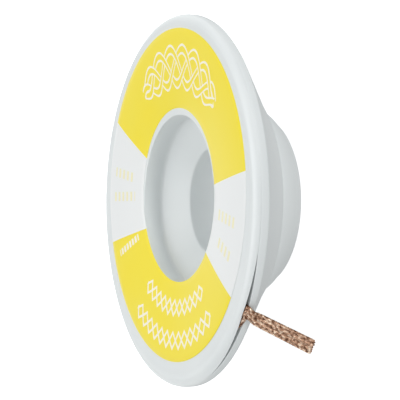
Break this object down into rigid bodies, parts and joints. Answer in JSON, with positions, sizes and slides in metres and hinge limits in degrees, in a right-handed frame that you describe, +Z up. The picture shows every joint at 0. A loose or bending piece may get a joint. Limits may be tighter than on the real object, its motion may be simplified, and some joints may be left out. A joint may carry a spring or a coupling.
{
  "type": "desoldering braid bobbin",
  "caption": "Copper desoldering braid wound inside a white two-part plastic bobbin with a printed ring, an open hub and a short free end.",
  "frame": {"origin": "on the bobbin's axis, level with the flat end of the hub that it rests on", "axes": "+Z up along the axis, from the hub's end to the printed face; the braid's free end points to +X -Y"},
  "size_m": [0.046, 0.046, 0.0128],
  "materials": {
    "white_plastic": "satin",
    "printed_film": "satin",
    "copper": "woven, bare"
  },
  "bodies": {
    "root": {"front_half": "white_plastic", "back_half": "white_plastic", "label_ring": "printed_film", "copper_braid": "copper"}
  },
  "joints": []
}
